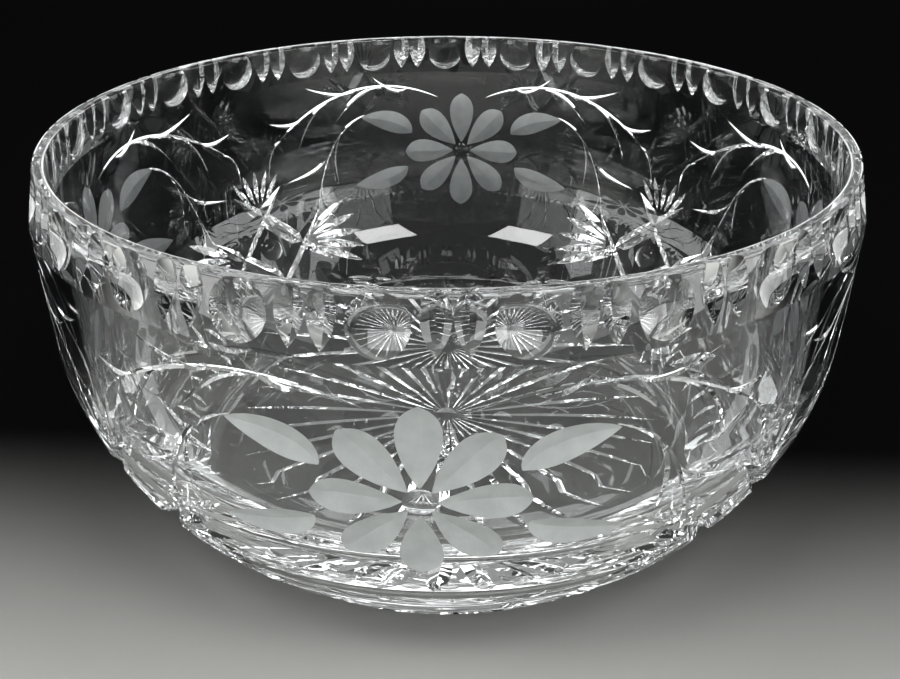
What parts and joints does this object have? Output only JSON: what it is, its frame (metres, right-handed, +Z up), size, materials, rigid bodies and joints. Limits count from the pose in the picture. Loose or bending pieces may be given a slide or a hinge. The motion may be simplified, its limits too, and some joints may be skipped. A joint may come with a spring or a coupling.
{
  "type": "trifle bowl",
  "caption": "Round heavy cut-glass trifle bowl with an upright wall, a rounded lower wall, a cut rim, cut panels and a flat star-cut base.",
  "frame": {"origin": "middle of the flat base, in the plane that rests on the table", "axes": "+Z up along the bowl's axis; -Y is the front, where the middle of an engraved blossom lies; +X to the right seen from the front"},
  "size_m": [0.228, 0.228, 0.11],
  "materials": {
    "crystal": "clear, polished"
  },
  "bodies": {
    "root": {"bowl": "crystal"}
  },
  "joints": []
}
